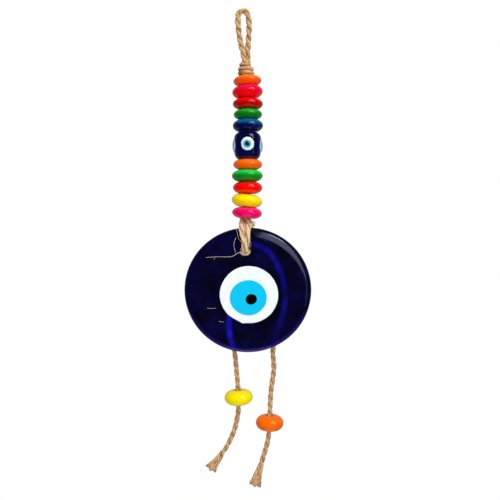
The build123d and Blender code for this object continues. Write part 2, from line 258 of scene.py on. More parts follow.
# Each bead's upper and lower tone, as painted light and shade: one paint as its top and its bottom
# are lit.
LIT_AND_SHADED_LACQUERS = {
    "bead_01_orange": (srgb(255, 126, 2), srgb(252, 84, 2)),
    "bead_02_pink": (srgb(240, 1, 74), srgb(236, 1, 26)),
    "bead_03_red": (srgb(255, 2, 3), srgb(184, 1, 3)),
    "bead_04_green": (srgb(2, 186, 36), srgb(3, 120, 18)),
    "bead_05_blue": (srgb(10, 104, 168), srgb(2, 10, 74)),
    "bead_07_orange": (srgb(251, 110, 2), srgb(254, 98, 2)),
    "bead_08_green": (srgb(3, 224, 80), srgb(10, 138, 28)),
    "bead_09_red": (srgb(243, 1, 1), srgb(255, 8, 3)),
    "bead_10_yellow": (srgb(252, 232, 2), srgb(255, 224, 2)),
    "bead_11_pink": (srgb(250, 2, 104), srgb(255, 2, 112)),
    "tail_bead_yellow": (srgb(253, 232, 2), srgb(255, 236, 2)),
    "tail_bead_orange": (srgb(254, 112, 2), srgb(255, 108, 3)),
}
WHITE_GLASS = glass("white_glass", srgb(248, 253, 254), srgb(230, 241, 246))
PALE_GLASS = glass("pale_glass", srgb(222, 244, 250), srgb(236, 250, 252))
SKY_GLASS = glass("sky_glass", srgb(0, 200, 246), srgb(0, 194, 240))
BLACK_GLASS = glass("black_glass", srgb(3, 5, 8), srgb(1, 2, 3))
COBALT_BEAD = glass("cobalt_bead_glass", srgb(3, 3, 44), srgb(9, 8, 84), mottle=420)
BEAD_IRIS = soft_edged_iris()
DISC_GLASS = cobalt_disc_glass()


def paint(node, material):
    """Gives a CAD node its finish."""
    slots = nodes[node].data.materials
    slots.clear()
    slots.append(material)


# ================================================================ meshes from plain arrays
class Shape:
    """Points, faces, UVs and point values gathered for one mesh."""

    def __init__(self):
        self.points, self.faces, self.uvs, self.groove = [], [], [], []
        self.count = 0

    def add(self, points, faces, uvs=None, groove=0.0):
        points = np.asarray(points, float)
        self.points.append(points)
        self.faces += [tuple(self.count + i for i in face) for face in faces]
        self.uvs.append(np.zeros((len(points), 2)) if uvs is None else np.asarray(uvs, float))
        self.groove.append(np.broadcast_to(np.asarray(groove, float), (len(points),)))
        self.count += len(points)

    def piece(self, name, material, values=None):
        mesh = bpy.data.meshes.new(name)
        mesh.from_pydata(np.concatenate(self.points).tolist(), [], self.faces)
        loops = np.zeros(len(mesh.loops), np.int32)
        mesh.loops.foreach_get("vertex_index", loops)
        layer = mesh.uv_layers.new(name="UVMap")
        layer.data.foreach_set("uv", np.concatenate(self.uvs)[loops].astype(np.float32).ravel())
        wanted = {"groove": np.concatenate(self.groove)} if values is None else values
        for attribute, numbers in wanted.items():
            made = mesh.attributes.new(attribute, "FLOAT", "POINT")
            made.data.foreach_set("value", np.asarray(numbers, np.float32))
        mesh.polygons.foreach_set("use_smooth", [True] * len(mesh.polygons))
        mesh.materials.append(material)
        mesh.update()
        made = bpy.data.objects.new(name, mesh)
        bpy.context.scene.collection.objects.link(made)
        return made


def tube_faces(rings, sides):
    """Quads between rings of points, and the first and last ring as one face each."""
    faces = []
    for i in range(rings - 1):
        for j in range(sides):
            k = (j + 1) % sides
            a, b = i * sides, (i + 1) * sides
            faces.append((a + j, a + k, b + k, b + j))
    faces.append(tuple(reversed(range(sides))))
    faces.append(tuple(range((rings - 1) * sides, rings * sides)))
    return faces


# ================================================================ lines
def nurbs_line(route):
    """Points in metres along the smooth spline whose control points are a route in millimetres."""
    curve = bpy.data.curves.new("line", "CURVE")
    curve.dimensions = "3D"
    curve.resolution_u = 24
    spline = curve.splines.new("NURBS")
    spline.points.add(len(route) - 1)
    for point, place in zip(spline.points, route):
        point.co = (place[0] * MM, place[1] * MM, place[2] * MM, 1.0)
    spline.order_u = 3
    spline.use_endpoint_u = True
    holder = bpy.data.objects.new("line", curve)
    mesh = bpy.data.meshes.new_from_object(holder)
    line = np.array([v.co for v in mesh.vertices], float)
    bpy.data.meshes.remove(mesh)
    bpy.data.objects.remove(holder)
    return line


def lengths(line):
    """How far along a line each of its points is."""
    steps = np.linalg.norm(np.diff(line, axis=0), axis=1)
    return np.concatenate([[0], np.cumsum(steps)])


def at_lengths(line, along, wanted):
    """Points of a line at the wanted lengths along it."""
    return np.stack([np.interp(wanted, along, line[:, k]) for k in range(3)], axis=1)


def smooth_line(route, step):
    """Points step millimetres apart along a route's spline, in metres."""
    line = nurbs_line(route)
    along = lengths(line)
    count = max(3, int(round(along[-1] / (step * MM))) + 1)
    return at_lengths(line, along, np.linspace(0, along[-1], count))


def unit(rows):
    return rows / np.maximum(np.linalg.norm(rows, axis=-1, keepdims=True), 1e-12)


def carried_frame(line):
    """A tangent and two square directions at each point, carried along with no twist."""
    tangent = unit(np.gradient(line, axis=0))
    first = np.cross(tangent[0], (0.0, 1.0, 0.0))
    if np.linalg.norm(first) < 0.1:
        first = np.cross(tangent[0], (1.0, 0.0, 0.0))
    side = np.zeros_like(line)
    side[0] = first / np.linalg.norm(first)
    for i in range(1, len(line)):
        carried = side[i - 1] - tangent[i] * (side[i - 1] @ tangent[i])
        side[i] = carried / np.linalg.norm(carried)
    return tangent, side, np.cross(tangent, side)


def tube_points(line, radius, sides):
    """Rings of points round a line, for tube_faces. radius is a column, one value a point."""
    _, side, across = carried_frame(line)
    corners = []
    for j in range(sides):
        angle = TURN * j / sides
        corners.append(line + radius * (math.cos(angle) * side + math.sin(angle) * across))
    return np.stack(corners, axis=1).reshape(-1, 3)


# ================================================================ twine
LAY = 9.6               # length of one full turn of the two plies
PLY_OFF = 0.215         # a ply's centre from the twine's, over the twine's diameter
PLY_R = 0.28            # a ply's radius, over the twine's diameter
PLY_SIDES = 14
PLY_RIDGES = 5          # coarse ridges round a ply, which wind slowly along it
HAIR_POINTS, HAIR_SIDES = 6, 3
HAIR_CURL = 0.5         # how far a loose hair strays sideways
FIBRE_POINTS, FIBRE_SIDES = 9, 4
STRAY_SIDES = 5


def smooth_noise(rng, count, every):
    """A slow random wave from -1 to 1 over count points, with a new value every so many."""
    knots = rng.uniform(-1, 1, count // every + 3)
    at = np.arange(count) / every
    low = at.astype(int)
    share = at - low
    share = share * share * (3 - 2 * share)
    return knots[low] * (1 - share) + knots[low + 1] * share


def hair(shape, rng, start, lean, out, reach, radius):
    """One loose fibre: a thin three-sided tube that leaves along lean and bends outwards."""
    t = np.linspace(0, 1, HAIR_POINTS)[:, None]
    stray = unit(rng.normal(size=3)) * HAIR_CURL
    bend = out * (0.25 + 0.35 * rng.random()) + stray * 0.3
    line = start + reach * (lean * t * 0.9 + bend * t * t * 0.6 + stray * t ** 3 * 0.3)
    points = tube_points(line, radius * (1.0 - 0.75 * t), HAIR_SIDES)
    tone = rng.uniform(0, 60, 2)
    shape.add(points, tube_faces(HAIR_POINTS, HAIR_SIDES), np.tile(tone, (len(points), 1)))


def twist(shape, line, diameter, seed, phase=0.0, lay=LAY, hairs=5.0,
          keep=None, thin=None, apart=None):
    """Adds two plies laid in an S twist along a line, and loose fibres, hairs of them a centimetre.

    keep is a slice of the line's points, for a part of a longer twine. thin scales the plies'
    thickness at each point, and apart their distance from the twine's middle. The seed and the ply
    also shift the UVs, so that no two plies share a stretch of the fibre pattern.
    """
    rng = np.random.default_rng(seed)
    tangent, side, across = carried_frame(line)
    along = lengths(line) / MM
    count = len(line)
    keep = keep or slice(0, count)
    size = np.ones(count) if thin is None else thin
    apart = size if apart is None else apart
    d = diameter * MM
    for ply in range(2):
        angle = phase + ply * math.pi - TURN * along / lay
        out = np.cos(angle)[:, None] * side + np.sin(angle)[:, None] * across
        wander = 1 + 0.10 * smooth_noise(rng, count, 9)
        center = line + out * (PLY_OFF * d * apart * wander)[:, None]
        forward = unit(np.gradient(center, axis=0))
        radial = unit(out - forward * (out * forward).sum(1)[:, None])
        flank = np.cross(forward, radial)
        thick = PLY_R * d * size * (1 + 0.10 * smooth_noise(rng, count, 7))
        turn = np.arange(PLY_SIDES) / PLY_SIDES * TURN
        ridges = np.cos(PLY_RIDGES * turn[None, :] + (along * 0.9)[:, None])
        lumps = np.stack([smooth_noise(rng, count, 5) for _ in range(PLY_SIDES)], axis=1)
        radius = thick[:, None] * (1 + 0.05 * ridges + 0.05 * lumps)
        points = (
            center[:, None, :]
            + (radius * np.cos(turn))[..., None] * radial[:, None, :]
            + (radius * 1.15 * np.sin(turn))[..., None] * flank[:, None, :]
        )
        # Painted shade in the groove: how far each side of a ply faces the other ply.
        groove_shade = np.clip(0.5 - 0.75 * np.cos(turn), 0, 1)[None, :].repeat(count, 0) ** 1.5
        across_mm = turn[None, :].repeat(count, 0) * PLY_R * diameter * 1.4
        skew = across_mm + 0.25 * along[:, None] + 17.0 * ply + seed * 3.1
        uvs = np.stack([skew, along[:, None].repeat(PLY_SIDES, 1)], axis=-1)
        points, uvs, groove_shade = points[keep], uvs[keep], groove_shade[keep]
        faces = tube_faces(len(points), PLY_SIDES)
        shape.add(points.reshape(-1, 3), faces, uvs.reshape(-1, 2), groove_shade.ravel())
    first, last = keep.indices(count)[:2]
    wanted = int(hairs * (along[last - 1] - along[first]) / 10)
    for _ in range(wanted):
        i = rng.integers(first, last)
        angle = rng.uniform(0, TURN)
        out = math.cos(angle) * side[i] + math.sin(angle) * across[i]
        lean = tangent[i] * rng.choice((-1.0, 1.0)) + out * rng.uniform(0.05, 0.4)
        reach = rng.uniform(1.0, 2.6) * MM
        root = line[i] + out * d * 0.36 * size[i]
        hair(shape, rng, root, unit(lean), out, reach, rng.uniform(0.025, 0.05) * MM)


def brush(shape, line, begins, seed, strands=210, widest=3.7):
    """The opened end of a twine: three flat bundles of fibre that part towards the line's end.

    begins is how far along the line the first fibres leave it, in millimetres.
    """
    rng = np.random.default_rng(seed)
    along = lengths(line) / MM
    _, side, across = carried_frame(line)
    side, across = side[-1], across[-1]
    if abs(side[1]) > abs(across[1]):
        side, across = across, side
    for _ in range(strands):
        start = begins + (along[-1] - begins) * rng.uniform(0, 0.35)
        bundle = rng.choice((-0.72, 0.02, 0.70))
        stop = along[-1] - abs(rng.normal(0, 0.7)) - 0.9 * abs(bundle)
        at = np.linspace(start, stop, FIBRE_POINTS)
        t = (at - begins) / (along[-1] - begins)
        root = rng.uniform(-0.35, 0.35) * widest
        tip = widest * np.clip(bundle + rng.normal(0, 0.19), -0.98, 0.98)
        bend = 0.03 * widest * np.sin(rng.uniform(0, TURN) + 5 * t)
        out = (root + (tip - root) * t ** 1.2 + bend)[:, None] * side
        level = rng.uniform(-1, 1)
        deep = (0.28 * level * widest * (0.5 + 0.5 * t))[:, None] * across
        path = at_lengths(line, along, at) + (out + deep) * MM
        radius = rng.uniform(0.15, 0.30) * MM * np.linspace(1.0, 0.5, FIBRE_POINTS)[:, None]
        points = tube_points(path, radius, FIBRE_SIDES)
        tone = np.full(FIBRE_POINTS, 1.3 * tip + rng.normal(0, 0.15))
        uvs = np.stack([tone, 0.4 * at], axis=1).repeat(FIBRE_SIDES, 0)
        faces = tube_faces(FIBRE_POINTS, FIBRE_SIDES)
        shape.add(points, faces, uvs, rng.choice((-0.9, -0.4, 0.0, 0.5)))


# Routes in millimetres. The loop, the strands on the disc and the tails repeat the CAD's.
NECK_SPLIT_Z = -25.0    # where the loop's piece ends and the neck's begins
LOOP = [
    (2.3, -1.0, -33.5), (0.6, -1.25, -27.4), (-0.5, -0.8, -21.4), (-2.3, -0.3, -13.8),
    (-3.1, 0.0, -6.2), (-3.1, 0.0, -1.6), (-1.9, 0.0, 0.6), (1.2, 0.0, 0.6), (2.6, 0.0, -1.6),
    (3.1, 0.0, -6.4), (2.9, 0.3, -13.9), (2.1, 0.8, -21.4), (2.7, 1.2, -27.4), (2.0, 1.0, -33.5),
]
BACK_Y = 5.75           # a tail's middle where it lies against the back of the disc
LEFT_TAIL = [
    (0.0, 9.0, -130.9), (-1.9, 8.7, -137.5), (-4.4, 6.8, -147.0), (-7.0, 5.9, -159.0),
    (-8.3, BACK_Y, -171.5), (-7.3, BACK_Y, -180.0), (-5.2, BACK_Y, -187.6),
    (-4.9, BACK_Y, -189.6), (-3.7, BACK_Y, -199.5), (-2.4, BACK_Y, -219.5),
    (-4.5, BACK_Y, -231.0), (-8.3, BACK_Y, -240.0), (-12.9, BACK_Y, -246.4),
    (-15.8, BACK_Y, -250.4), (-19.0, BACK_Y, -254.8),
]
RIGHT_TAIL = [
    (5.8, 8.2, -127.8), (10.4, 7.6, -129.6), (15.5, 6.3, -133.2), (19.9, 5.8, -141.5),
    (23.3, BACK_Y, -153.0), (22.5, BACK_Y, -165.0), (18.9, BACK_Y, -175.5), (16.5, BACK_Y, -187.0),
    (16.3, BACK_Y, -189.0), (17.3, BACK_Y, -198.0), (15.3, BACK_Y, -209.5), (14.8, BACK_Y, -221.5),
    (14.4, BACK_Y, -236.0), (11.0, BACK_Y, -247.5), (8.0, BACK_Y, -257.5), (6.1, BACK_Y, -264.0),
]
LOOP_TWIST = 3.3        # as it is drawn in the loop and the neck, slack and thick
TAIL_TWIST = 2.9
TAIL_LAY = 8.8


def hanging_twine():
    """The loop, and the two short strands from its neck to the top knot, as one run of twine."""
    line = smooth_line(LOOP, 0.35)
    low = np.flatnonzero(line[:, 2] > NECK_SPLIT_Z * MM)
    first, last = low[0], low[-1] + 1
    loop = Shape()
    twist(loop, line, LOOP_TWIST, seed=11, keep=slice(first, last))
    piece = loop.piece("twine_loop", TWINE_LOOK)
    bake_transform(piece)
    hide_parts("hanging_loop")
    neck = Shape()
    twist(neck, line, LOOP_TWIST, seed=11, keep=slice(0, first + 1))
    twist(neck, line, LOOP_TWIST, seed=11, keep=slice(last - 1, len(line)))
    piece = neck.piece("twine_neck", TWINE_LOOK)
    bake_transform(piece)
    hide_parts("neck_strand_left", "neck_strand_right")


def tail(name, route, seed, bead, opening, phase=0.0):
    """One tail from the hitch to its frayed end, bent across the disc's lower edge.

    opening is the length at the end over which the plies part and the fibres spread.
    """
    line = smooth_line(route, 0.4)
    along = lengths(line) / MM
    opened = along[-1] - opening
    last = int(np.searchsorted(along, along[-1] - 0.45 * opening))
    shape = Shape()
    stops = [opened - 4, along[last]]
    above_bead = (line[:, 2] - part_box(bead)[1].z) / MM
    bunched = 1 + 0.14 * np.exp(-(above_bead / 1.2) ** 2)   # the fibres bunch where the bead ends
    thin = np.interp(along, stops, [1.06, 0.75]) * bunched
    apart = np.interp(along, stops, [0.92, 1.7])
    twist(shape, line, TAIL_TWIST, seed=seed, phase=phase, lay=TAIL_LAY, keep=slice(0, last),
          thin=thin, apart=apart)
    brush(shape, line, opened, seed + 1)
    piece = shape.piece(name, WARM_TWINE)
    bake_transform(piece)
    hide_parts(name + "_upper", name + "_lower", name + "_fray")
    return line


hanging_twine()
left_line = tail("tail_left", LEFT_TAIL, 21,
                 "tail_bead_yellow", 11.5)
right_line = tail("tail_right", RIGHT_TAIL, 31,
                  "tail_bead_orange", 14.0, phase=1.1)


def coil(center, radii, turns, pitch, slope, wobble, seed, squash=0.9, step=10):
    """A route of wraps round Z, in millimetres: slope tips each turn down to the right."""
    rng = np.random.default_rng(seed)
    route = []
    count = int(turns * step)
    for i in range(count + 1):
        angle = TURN * i / step + 0.6
        r = radii[0] + (radii[1] - radii[0]) * i / count
        r *= 1 + wobble * rng.uniform(-1, 1)
        x, y = r * math.cos(angle), squash * r * math.sin(angle)
        z = -pitch * i / step - slope * x + wobble * rng.uniform(-1, 1)
        route.append((center[0] + x, center[1] + y, center[2] + z))
    return route


def top_knot():
    """The knot above the beads: two thick wraps over a core, tipped down to the right."""
    knot = Shape()
    wraps = coil((1.45, 0, -28.9), (2.4, 3.45), 2.45, 2.5, 0.20, 0.04, seed=5)
    twist(knot, smooth_line(wraps, 0.35), 3.3, seed=41, lay=15, hairs=9)
    core = [(1.2, 0, -27.8), (1.5, 0.2, -31.5), (1.7, 0, -35.3)]
    twist(knot, smooth_line(core, 0.4), 5.4, seed=42, hairs=0)
    piece = knot.piece("knot_top", WARM_TWINE)
    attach(piece, "column")
    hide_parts("top_knot")


def column_twine():
    """The two legs of twine inside the beads, and the two short ends that leave the last bead."""
    legs = Shape()
    for side in ("left", "right"):
        low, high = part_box("column_strand_" + side)
        x = (low.x + high.x) / 2 / MM
        ends = (high.z / MM - 0.05, low.z / MM - 1.8)
        route = [(x, 0, ends[0]), (x, 0, sum(ends) / 2), (x, 0, ends[1])]
        twist(legs, smooth_line(route, 0.5), 1.95, seed=51, hairs=0)
    piece = legs.piece("twine_in_beads", TWINE_LOOK)
    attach(piece, "column")
    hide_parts("column_strand_left", "column_strand_right")
    # Painted shade: the short ends just under the last bead take the darker jute copy, for the
    # bead's shade on them.
    fan = Shape()
    for seed, (x, out) in enumerate(((-0.3, -0.8), (1.9, 0.8))):
        route = [(x, -0.5, -113.0), (x + out, -1.8, -114.9), (x + 1.4 * out, -3.2, -117.3)]
        twist(fan, smooth_line(route, 0.3), 2.7, seed=54 + seed, lay=18, hairs=30)
    piece = fan.piece("twine_under_beads", TWINE_LOOK)
    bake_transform(piece)


# The left and the right strand from the lower knot over the front of the disc, through its hole and
# up behind.
DISC_STRANDS = (
    [
        (-0.2, -0.6, -115.9), (-1.1, -2.9, -117.1), (-1.35, -4.7, -119.2), (-0.7, -6.2, -121.8),
        (-0.1, -6.1, -126.0), (0.6, -5.8, -130.6), (0.5, -2.2, -132.7), (-0.4, 2.5, -132.6),
        (-0.6, 5.75, -131.6), (-0.5, 5.95, -127.0), (-0.55, 5.9, -122.0), (-0.3, 4.0, -118.4),
        (0.6, 1.2, -116.4),
    ],
    [
        (2.0, -0.6, -115.5), (2.4, -3.1, -116.8), (2.9, -5.0, -119.0), (2.75, -6.5, -121.6),
        (2.1, -7.3, -126.0), (1.7, -7.2, -130.4), (2.0, -2.8, -132.4), (2.2, 2.5, -132.3),
        (2.2, 5.75, -131.3), (2.5, 5.95, -127.0), (2.65, 5.9, -122.0), (2.6, 4.0, -118.4),
        (2.4, 1.2, -116.4),
    ],
)


def disc_twine():
    """The doubled twine the disc hangs by, a core between its strands and a wad in the hole."""
    strands = Shape()
    for i, route in enumerate(DISC_STRANDS):
        line = smooth_line(route, 0.3)
        twist(strands, line, 2.95, seed=61 + i, phase=1.3 * i, lay=18, hairs=16)
    core = [(0.9, -1.0, -116.2), (0.7, -3.2, -118.6), (0.9, -5.0, -122.0), (1.0, -5.2, -127.0),
            (1.1, -3.6, -131.6)]
    twist(strands, smooth_line(core, 0.3), 2.4, seed=65, lay=16, hairs=8)
    for i, (y, z) in enumerate(((-3.4, -133.7), (-1.6, -133.9), (1.5, -133.9))):
        wad = [
            (-2.4, y + 1.2, z + 2.4), (-1.6, y, z + 0.5), (0.8, y - 0.5, z), (3.2, y, z + 0.4),
            (4.0, y + 1.2, z + 2.4),
        ]
        twist(strands, smooth_line(wad, 0.3), 1.5, seed=66 + i, hairs=14)
    piece = strands.piece("twine_on_disc", LIT_TWINE)
    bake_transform(piece)
    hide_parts("disc_strand_left", "disc_strand_right")


def lower_knot():
    """The knot under the last bead, mostly behind the front strands, and its frayed cut end."""
    knot = Shape()
    wraps = [
        (-1.6, 1.0, -117.0), (-0.6, 2.2, -115.8), (1.6, 2.5, -115.5), (3.4, 1.5, -115.8),
        (4.3, -0.6, -117.0), (4.1, -2.0, -118.3), (2.6, -1.9, -119.3), (0.6, -1.0, -118.6),
        (-1.0, 0.8, -117.6), (-0.4, 2.6, -118.9), (2.0, 2.8, -119.3), (4.2, 1.5, -118.6),
        (4.8, -0.7, -117.4), (4.0, -1.9, -116.2), (2.6, -1.0, -115.7),
    ]
    twist(knot, smooth_line(wraps, 0.3), 2.3, seed=71, hairs=12)
    cut = [(3.3, -0.6, -115.2), (4.9, -1.2, -116.2), (6.0, -1.5, -117.7)]
    line = smooth_line(cut, 0.3)
    twist(knot, line, 2.2, seed=72, hairs=12)
    brush(knot, line, 0.5, 73, strands=30, widest=2.2)
    piece = knot.piece("knot_lower", LIT_TWINE)
    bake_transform(piece)
    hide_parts("lower_knot", "lower_knot_cut_end")


def hitch():
    """The overhand knot behind the disc that ties the tails to the back strands: a trefoil."""
    low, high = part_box("tail_hitch")
    middle = (low + high) / 2 / MM
    size, behind, points = 0.95, 0.55, 23
    route = []
    for i in range(points):
        t = TURN * (i + 0.4) / points
        x = math.sin(t) + 2 * math.sin(2 * t)
        z = math.cos(t) - 2 * math.cos(2 * t)
        y = math.sin(3 * t)
        route.append((middle.x + size * x, middle.y + behind + size * y, middle.z + size * z))
    knot = Shape()
    twist(knot, smooth_line(route, 0.3), 2.2, seed=81, hairs=9)
    piece = knot.piece("knot_hitch", TWINE_LOOK)
    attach(piece, "disc")
    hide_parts("tail_hitch")


def loose_fibres():
    """Single fibres that have come away round the hole and lie over the glass."""
    # Each has its radius and its route.
    fibres = {
        "stray_long": (0.12, [
            (0.8, -5.6, -131.2), (-3.9, -5.4, -133.4), (-5.8, -5.0, -134.9),
            (-10.2, -4.7, -135.1), (-16.0, -4.6, -134.9), (-20.7, -4.5, -135.5),
        ]),
        "stray_hook": (0.08, [
            (-15.4, -4.7, -135.0), (-15.9, -4.9, -135.8), (-16.4, -4.7, -136.6),
        ]),
        "curl_left": (0.08, [
            (-3.9, -5.2, -119.2), (-3.2, -5.8, -123.0), (-2.4, -6.0, -126.0), (0.3, -5.9, -127.6),
        ]),
        "curl_low": (0.09, [
            (-4.1, -5.4, -124.7), (-5.3, -5.6, -127.4), (-5.1, -5.2, -130.4), (-3.8, -5.0, -133.6),
        ]),
        "lint_left": (0.07, [
            (-19.6, -4.15, -163.1), (-17.5, -4.2, -163.3), (-15.0, -4.15, -163.2),
        ]),
        "lint_low": (0.07, [
            (-13.3, -4.15, -170.1), (-12.0, -4.2, -170.6), (-10.6, -4.15, -170.5),
        ]),
        "curl_right": (0.08, [
            (3.2, -6.2, -124.5), (4.1, -5.9, -127.2), (3.9, -5.4, -129.6), (2.6, -5.2, -131.6),
        ]),
    }
    for name, (radius, route) in fibres.items():
        line = smooth_line(route, 0.4)
        thin = radius * MM * np.linspace(1.0, 0.55, len(line))[:, None]
        points = tube_points(line, thin, STRAY_SIDES)
        shape = Shape()
        faces = tube_faces(len(line), STRAY_SIDES)
        shape.add(points, faces, np.full((len(points), 2), 40.0), groove=-1.0)
        piece = shape.piece("fibre_" + name, LIT_TWINE)
        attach(piece, "disc")


top_knot()
column_twine()
disc_twine()
lower_knot()
hitch()
loose_fibres()


# ================================================================ glass disc
HOLE = (1.0, -131.3)            # its centre in X and Z
HOLE_R = 2.7
RIM_Y = -0.1                    # where the front's edge meets the side
BACK_RIM_Y = 0.6                # and the back's
FRONT_FALL = (9.0, 2.6)         # how far in from the edge the front falls away, and how squarely
BACK_FALL = (5.0, 2.2)
LIP = 1.2                       # the rounding at the hole
RIM_SIDES, HOLE_SIDES = 216, 56
RIM_INSETS = (0, 0.03, 0.12, 0.28, 0.5, 0.8, 1.15, 1.6, 2.1, 2.7, 3.4, 4.2, 5.1, 6.2)
HOLE_OUTSETS = (0, 0.03, 0.12, 0.27, 0.48, 0.75, 1.05, 1.4, 1.9)
GRID = 0.75                     # between the points inside, which keep clear of the rings
RIM_CLEAR, HOLE_CLEAR = 6.6, 2.3
SEEN = 0.985                    # the glass shows a tail this much nearer the ornament's middle
TAIL_GLOW_WIDTH = 1.9
TAIL_GLOW_TURNS = (-172.0, -160.0)  # the heights between which a tail's painted glow changes its brightness
TAIL_LEAVES_Z = -190.0          # below this a tail is clear of the disc


def oval(node):
    """A node's middle and half size in X and Z, in millimetres."""
    low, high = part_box(node)
    middle = ((low.x + high.x) / 2 / MM, (low.z + high.z) / 2 / MM)
    return middle, ((high.x - low.x) / 2 / MM, (high.z - low.z) / 2 / MM)


def outline_depth(x, z, center, half):
    """How far inside the disc's oval outline a point is, to a close approximation."""
    u, w = (x - center[0]) / half[0], (z - center[1]) / half[1]
    r = np.sqrt(u * u + w * w)
    slope = np.sqrt((half[1] * u) ** 2 + (half[0] * w) ** 2 + 1e-12)
    return (1 - r) * (half[0] * half[1]) / slope * np.maximum(r, 1e-6)


def near_line(x, z, line, width):
    """1 on a line seen straight along Y, falling to 0 at width from it."""
    best = np.full(len(x), np.inf)
    for px, pz in line:
        best = np.minimum(best, (x - px) ** 2 + (z - pz) ** 2)
    return np.clip(1 - np.sqrt(best) / width, 0, 1) ** 0.8


def disc_sheet(center, half):
    """The disc's outline as flat points in X and Z, and its faces: dense at its edge and hole."""
    flat, edges = [], []

    def ring(middle, reach_x, reach_z, count):
        first = len(flat)
        for i in range(count):
            a = TURN * i / count
            flat.append((middle[0] + reach_x * math.cos(a), middle[1] + reach_z * math.sin(a)))
        edges.extend((first + i, first + (i + 1) % count) for i in range(count))

    for inset in RIM_INSETS:
        ring(center, half[0] - inset, half[1] - inset, RIM_SIDES)
    for out in HOLE_OUTSETS:
        ring(HOLE, HOLE_R + out, HOLE_R + out, HOLE_SIDES)
    for row in range(int(2 * half[1] / GRID) + 1):
        z = center[1] - half[1] + row * GRID
        for column in range(int(2 * half[0] / GRID) + 1):
            x = center[0] - half[0] + (column + 0.5 * (row % 2)) * GRID
            deep = outline_depth(np.array([x]), np.array([z]), center, half)[0]
            if deep > RIM_CLEAR and math.hypot(x - HOLE[0], z - HOLE[1]) > HOLE_R + HOLE_CLEAR:
                flat.append((x, z))
    made = delaunay_2d_cdt([Vector(p) for p in flat], edges, [], 0, 1e-7)
    spots = np.array([tuple(p) for p in made[0]])
    faces = []
    for face in made[2]:    # all but those that fill the hole, turned the same way
        middle = spots[list(face)].mean(0)
        if math.hypot(middle[0] - HOLE[0], middle[1] - HOLE[1]) > HOLE_R * 0.995:
            a, b, c = (spots[i] for i in face[:3])
            ccw = (b[0] - a[0]) * (c[1] - a[1]) - (b[1] - a[1]) * (c[0] - a[0]) > 0
            faces.append(tuple(face) if ccw else tuple(reversed(face)))
    return spots, faces


def closed_faces(faces, count):
    """The front's faces, the back's, and the walls between them. The back starts at count."""
    both = faces + [tuple(count + i for i in reversed(face)) for face in faces]
    sides = dict.fromkeys(pair for face in faces for pair in zip(face, face[1:] + face[:1]))
    both += [(b, a, count + a, count + b) for a, b in sides if (b, a) not in sides]
    return both


def glass_disc():
    """The disc: a poured front with a soft shoulder, a flatter back and a lipped hole."""
    center, half = oval("disc_body")
    front, back = (corner.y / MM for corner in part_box("disc_body"))
    spots, faces = disc_sheet(center, half)
    x, z = spots[:, 0], spots[:, 1]
    deep = np.maximum(outline_depth(x, z, center, half), 0)
    from_hole = np.maximum(np.hypot(x - HOLE[0], z - HOLE[1]) - HOLE_R, 0)

    def fall(reach, power, height):
        u = np.clip(1 - deep / reach, 0, 1)
        return height * (1 - np.sqrt(np.maximum(1 - u ** power, 0)))

    u = np.clip(1 - from_hole / LIP, 0, 1)
    lip = LIP * (1 - np.sqrt(1 - u * u))
    front_y = front + fall(*FRONT_FALL, RIM_Y - front) + lip
    back_y = back - fall(*BACK_FALL, back - BACK_RIM_Y) - lip
    count = len(spots)
    sheets = np.concatenate([np.stack([x, front_y, z], 1), np.stack([x, back_y, z], 1)]) * MM
    shape = Shape()
    shape.add(sheets, closed_faces(faces, count), np.tile(spots, (2, 1)))
    # Painted light: where the tails lie behind the glass, brighter above or below as they are lit,
    # seen a little towards the middle.
    tail_glow_share = np.zeros(count)
    for line, bright_above, bright_below in ((left_line, 0.0, 1.6), (right_line, 0.75, 0.25)):
        behind = line[::3]
        behind = behind[behind[:, 2] > TAIL_LEAVES_Z * MM][:, [0, 2]] / MM
        path = MIDDLE + (behind - MIDDLE) * SEEN
        bright = np.interp(z, TAIL_GLOW_TURNS, (bright_below, bright_above))
        tail_glow_share = np.maximum(tail_glow_share, bright * near_line(x, z, path, TAIL_GLOW_WIDTH))
    # Painted light: a paler band just inside the edge, below the middle.
    low_down = np.clip((center[1] - 8 - z) / 20, 0, 1)
    painted_rim_light = np.exp(-((deep - 1.2) / 1.0) ** 2) * low_down
    values = {"painted_tail_glow": np.concatenate([tail_glow_share, tail_glow_share * 0]), "painted_rim_light": np.concatenate([painted_rim_light, painted_rim_light])}
    piece = shape.piece("disc_glass", DISC_GLASS, values)
    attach(piece, "disc")
    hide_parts("disc_body")


def eye_layer(name, node, material, rise, seed, corner=None):
    """One poured layer of the disc's eye: a low domed pancake with a hand-made outline.

    corner is the angle, from +X towards +Z, at which the outline bulges a little.
    """
    center, half = oval(node)
    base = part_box("disc_body")[0].y / MM
    wobble, sides = 0.07, 160
    angle = np.arange(sides) * TURN / sides
    reach = np.ones(sides)
    for k, phase in enumerate(np.random.default_rng(seed).uniform(0, TURN, 6)):
        reach += wobble / (half[0] * (k + 1)) * np.cos((k + 2) * angle + phase)
    if corner:
        away = (angle - math.radians(corner) + math.pi) % TURN - math.pi
        reach += 0.030 * np.exp(-(away / 0.09) ** 2) - 0.014 * np.exp(-((away + 0.32) / 0.22) ** 2)
    # Each ring is a share of the outline and a share of the rise.
    rings = [(1.0, -0.35), (1.0, 0.0)]
    rings += [(1 - 0.02 * (1 - math.cos(t)), math.sin(t)) for t in np.linspace(0.3, TURN / 4, 5)]
    rings += [(share, 1.0) for share in (0.9, 0.75, 0.5, 0.25, 0.02)]
    points = []
    for share, height in rings:
        px = center[0] + half[0] * reach * share * np.cos(angle)
        pz = center[1] + half[1] * reach * share * np.sin(angle)
        points.append(np.stack([px, np.full(sides, base - rise * height), pz], 1))
    points = np.concatenate(points) * MM
    faces = [tuple(reversed(face)) for face in tube_faces(len(rings), sides)]
    shape = Shape()
    shape.add(points, faces, points[:, [0, 2]] / MM)
    piece = shape.piece(name, material)
    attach(piece, "disc")
    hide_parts(node)
    return piece


